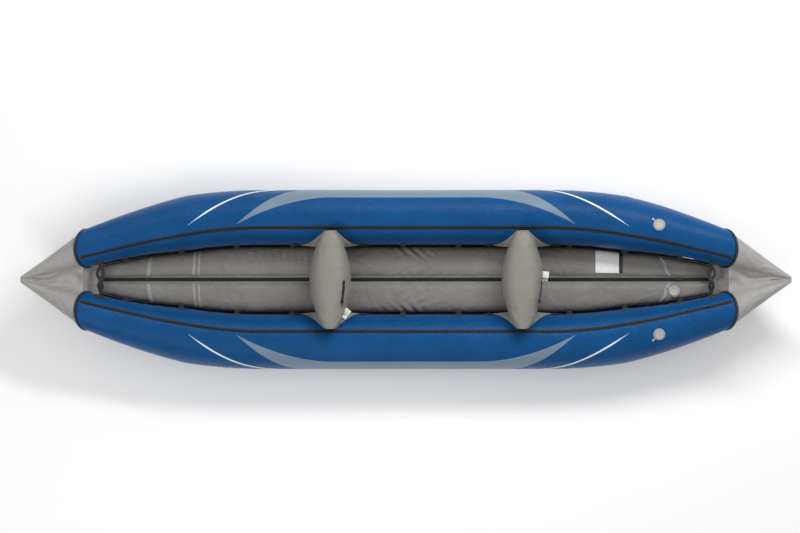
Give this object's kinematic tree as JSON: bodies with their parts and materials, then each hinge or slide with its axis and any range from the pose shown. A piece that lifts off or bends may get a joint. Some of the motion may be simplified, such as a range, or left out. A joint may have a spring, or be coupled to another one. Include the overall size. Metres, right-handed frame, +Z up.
{
  "type": "inflatable kayak",
  "caption": "Two-seat shell-and-bladder inflatable kayak: two tapered side tubes with pointed end caps, a two-chamber floor, two reclining inflated backrests and grab handles.",
  "frame": {"origin": "on the ground under the middle of the hull", "axes": "+X to the stern, +Y to starboard, +Z up"},
  "size_m": [4.008, 0.935, 0.3946],
  "materials": {
    "blue_fabric": "PVC-coated polyester, satin",
    "cap_fabric": "PVC-coated polyester, satin",
    "floor_fabric": "PVC-coated polyester, matt",
    "seat_fabric": "PVC-coated polyester, satin",
    "skirt_fabric": "PVC-coated polyester, matt",
    "bladder_film": "clear urethane film",
    "piping": "matt",
    "webbing": "woven nylon webbing",
    "zipper_tape": "woven tape with moulded teeth",
    "zip_slider": "moulded acetal",
    "buckle_plastic": "moulded acetal",
    "pale_patch": "printed vinyl, blank",
    "dark_patch": "printed vinyl, blank",
    "spring_steel": "stainless",
    "white_plastic": "satin",
    "beige_plastic": "satin",
    "grey_plastic": "satin"
  },
  "bodies": {
    "hull": {"starboard_tube_shell": "blue_fabric", "starboard_bow_shell": "blue_fabric", "starboard_stern_shell": "blue_fabric", "port_tube_shell": "blue_fabric", "port_bow_shell": "blue_fabric", "port_stern_shell": "blue_fabric", "starboard_tube_bladder": "bladder_film", "port_tube_bladder": "bladder_film", "bow_cap": "cap_fabric", "stern_cap": "cap_fabric", "tube_end_piping": "piping", "starboard_tube_zipper": "zipper_tape", "port_tube_zipper": "zipper_tape", "floor_shell": "floor_fabric", "floor_bladder": "bladder_film", "floor_zipper": "zipper_tape", "floor_end_panels": "cap_fabric", "starboard_floor_skirt": "skirt_fabric", "port_floor_skirt": "skirt_fabric", "starboard_lash_tabs": "webbing", "port_lash_tabs": "webbing", "floor_label_patch": "pale_patch", "floor_strip_patch": "dark_patch", "tube_tag_patch": "pale_patch", "starboard_valve_body": "grey_plastic", "port_valve_body": "grey_plastic", "floor_valve_body": "grey_plastic", "starboard_valve_spring": "spring_steel", "port_valve_spring": "spring_steel", "floor_valve_spring": "spring_steel", "starboard_cap_strap": "grey_plastic", "port_cap_strap": "grey_plastic", "floor_cap_strap": "grey_plastic", "bow_handle_anchors": "webbing", "stern_handle_anchors": "webbing", "front_seat_wings": "seat_fabric", "front_seat_buckles": "buckle_plastic", "rear_seat_wings": "seat_fabric", "rear_seat_buckles": "buckle_plastic"},
    "starboard_zip_slider": {"starboard_zip_slider": "zip_slider"},
    "port_zip_slider": {"port_zip_slider": "zip_slider"},
    "floor_zip_slider": {"floor_zip_slider": "zip_slider"},
    "starboard_valve_cap": {"starboard_valve_cap": "beige_plastic"},
    "port_valve_cap": {"port_valve_cap": "beige_plastic"},
    "floor_valve_cap": {"floor_valve_cap": "beige_plastic"},
    "starboard_valve_poppet": {"starboard_valve_poppet": "white_plastic"},
    "port_valve_poppet": {"port_valve_poppet": "white_plastic"},
    "floor_valve_poppet": {"floor_valve_poppet": "white_plastic"},
    "bow_handle": {"bow_handle": "webbing"},
    "stern_handle": {"stern_handle": "webbing"},
    "front_backrest": {"front_backrest_shell": "seat_fabric", "front_backrest_bladder": "bladder_film", "front_backrest_zipper": "zipper_tape", "front_seat_valve_tube": "white_plastic"},
    "front_backrest_zip_slider": {"front_backrest_zip_slider": "zip_slider"},
    "front_seat_valve_cap": {"front_seat_valve_cap": "white_plastic"},
    "rear_backrest": {"rear_backrest_shell": "seat_fabric", "rear_backrest_bladder": "bladder_film", "rear_backrest_zipper": "zipper_tape", "rear_seat_valve_tube": "white_plastic"},
    "rear_backrest_zip_slider": {"rear_backrest_zip_slider": "zip_slider"},
    "rear_seat_valve_cap": {"rear_seat_valve_cap": "white_plastic"}
  },
  "joints": [
    {"name": "bow_handle_swing", "type": "hinge", "parent": "hull", "child": "bow_handle", "pos_m": [-1.592, 0, 0.2393], "axis": [0, 1, 0], "range_deg": [-70, 70]},
    {"name": "stern_handle_swing", "type": "hinge", "parent": "hull", "child": "stern_handle", "pos_m": [1.592, 0, 0.2393], "axis": [0, 1, 0], "range_deg": [-70, 70]},
    {"name": "starboard_valve_cap_turn", "type": "hinge", "parent": "hull", "child": "starboard_valve_cap", "pos_m": [1.319, 0.28463, 0.30273], "axis": [-0.0232, 0.1822, 0.983], "range_deg": [0, 90]},
    {"name": "starboard_valve_poppet_push", "type": "slide", "parent": "hull", "child": "starboard_valve_poppet", "axis": [0.0232, -0.1822, -0.983], "range_m": [0, 0.006], "stiffness_N_per_m": 200, "deforming": ["starboard_valve_spring"]},
    {"name": "port_valve_cap_turn", "type": "hinge", "parent": "hull", "child": "port_valve_cap", "pos_m": [1.319, -0.28463, 0.30273], "axis": [-0.0232, -0.1822, 0.983], "range_deg": [0, 90]},
    {"name": "port_valve_poppet_push", "type": "slide", "parent": "hull", "child": "port_valve_poppet", "axis": [0.0232, 0.1822, -0.983], "range_m": [0, 0.006], "stiffness_N_per_m": 200, "deforming": ["port_valve_spring"]},
    {"name": "floor_valve_cap_turn", "type": "hinge", "parent": "hull", "child": "floor_valve_cap", "pos_m": [1.404, -0.06101, 0.14618], "axis": [-0.1802, 0, 0.9836], "range_deg": [0, 90]},
    {"name": "floor_valve_poppet_push", "type": "slide", "parent": "hull", "child": "floor_valve_poppet", "axis": [0.1802, 0, -0.9836], "range_m": [0, 0.006], "stiffness_N_per_m": 200, "deforming": ["floor_valve_spring"]},
    {"name": "starboard_zip_slide", "type": "slide", "parent": "hull", "child": "starboard_zip_slider", "axis": [-0.9672, 0.229, -0.1098], "range_m": [0, 0.06]},
    {"name": "port_zip_slide", "type": "slide", "parent": "hull", "child": "port_zip_slider", "axis": [-0.9672, -0.229, -0.1098], "range_m": [0, 0.06]},
    {"name": "floor_zip_slide", "type": "slide", "parent": "hull", "child": "floor_zip_slider", "axis": [-0.9832, 0, -0.1823], "range_m": [0, 0.06]},
    {"name": "front_backrest_recline", "type": "hinge", "parent": "hull", "child": "front_backrest", "pos_m": [-0.395, 0, 0.112], "axis": [0, 1, 0], "range_deg": [-12, 12], "deforming": ["front_seat_wings"]},
    {"name": "front_backrest_zip_slide", "type": "slide", "parent": "front_backrest", "child": "front_backrest_zip_slider", "axis": [0.1554, 0.9858, 0.063], "range_m": [0, 0.04]},
    {"name": "front_seat_valve_twist", "type": "hinge", "parent": "front_backrest", "child": "front_seat_valve_cap", "pos_m": [-0.33567, -0.188, 0.30142], "axis": [0.9106, -0.4133, 0], "range_deg": [0, 180]},
    {"name": "rear_backrest_recline", "type": "hinge", "parent": "hull", "child": "rear_backrest", "pos_m": [0.608, 0, 0.112], "axis": [0, 1, 0], "range_deg": [-12, 12], "deforming": ["rear_seat_wings"]},
    {"name": "rear_backrest_zip_slide", "type": "slide", "parent": "rear_backrest", "child": "rear_backrest_zip_slider", "axis": [0.2106, 0.9764, 0.047], "range_m": [0, 0.04]},
    {"name": "rear_seat_valve_twist", "type": "hinge", "parent": "rear_backrest", "child": "rear_seat_valve_cap", "pos_m": [0.71, 0, 0.254], "axis": [1, 0, 0], "range_deg": [0, 180]}
  ]
}
